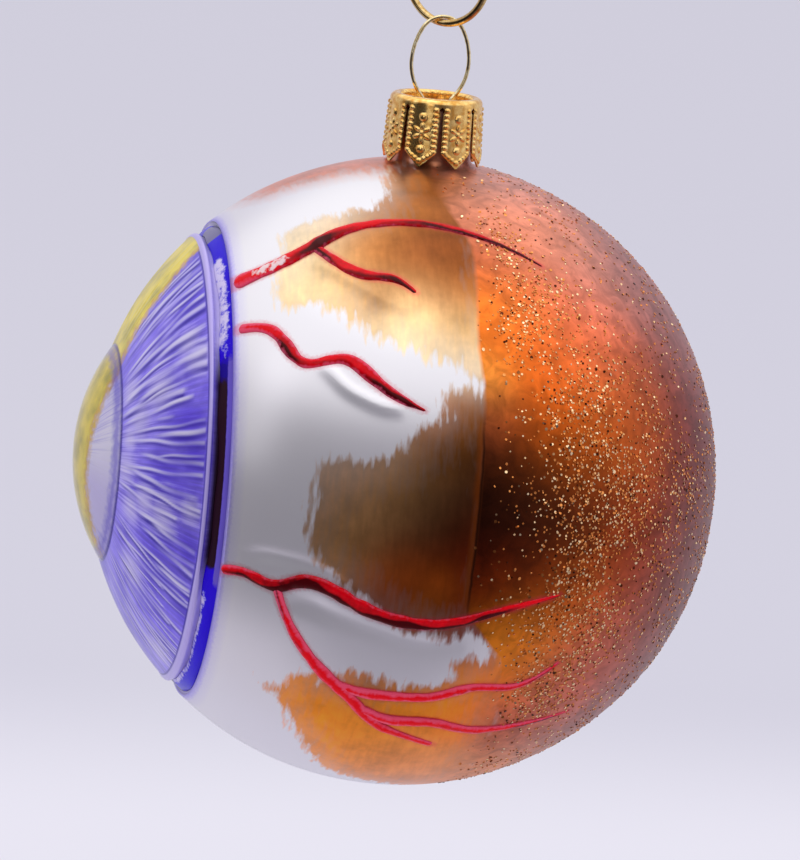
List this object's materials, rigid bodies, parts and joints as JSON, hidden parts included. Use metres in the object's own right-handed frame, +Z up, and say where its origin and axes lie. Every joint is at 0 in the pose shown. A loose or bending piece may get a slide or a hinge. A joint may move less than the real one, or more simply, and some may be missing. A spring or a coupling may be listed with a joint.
{
  "type": "eye anatomy ornament",
  "caption": "Hanging blown-glass eyeball with a moulded iris and cornea, raised red veins, a petalled cap, a spring-wire hanger and a jump ring.",
  "frame": {"origin": "place inside the top of the jump ring where a hook bears", "axes": "+Z up through the ring, loop, cap and ball; the eye looks along -X"},
  "size_m": [0.082, 0.08, 0.1095],
  "materials": {
    "gilt_ring_wire": "polished gilt wire",
    "gilt_spring_wire": "polished pale gilt spring wire",
    "gilt_cap_sheet": "pressed gilt sheet with beaded petals",
    "lacquered_glass": "silvered glass with pearl white, amber and copper lacquer",
    "clear_glaze": "clear gloss",
    "blue_enamel": "gloss enamel",
    "red_enamel": "gloss enamel"
  },
  "bodies": {
    "ring": {"jump_ring": "gilt_ring_wire"},
    "hanger": {"hanger_clip": "gilt_spring_wire"},
    "cap": {"crown_cap": "gilt_cap_sheet"},
    "bulb": {"glass_bulb": "lacquered_glass", "cornea_glaze": "clear_glaze", "limbus_band": "blue_enamel", "upper_vein": "red_enamel", "upper_vein_branch": "red_enamel", "middle_vein": "red_enamel", "lower_vein": "red_enamel", "lower_vein_branch": "red_enamel", "lower_vein_upper_twig": "red_enamel", "lower_vein_lower_twig": "red_enamel", "far_upper_vein": "red_enamel", "far_upper_vein_branch": "red_enamel", "far_middle_vein": "red_enamel", "far_lower_vein": "red_enamel", "far_lower_vein_branch": "red_enamel", "far_lower_vein_twig": "red_enamel"}
  },
  "joints": [
    {"name": "hanger_swing", "type": "hinge", "parent": "ring", "child": "hanger", "pos_m": [0, 0, -0.01117], "axis": [0.7431, -0.6691, 0], "range_deg": [-140, 140]},
    {"name": "clip_pull", "type": "slide", "parent": "hanger", "child": "cap", "axis": [0, 0, -1], "range_m": [0, 0.017]},
    {"name": "bulb_turn", "type": "hinge", "parent": "cap", "child": "bulb", "pos_m": [0, 0, -0.0686], "axis": [0, 0, 1], "continuous": true}
  ]
}
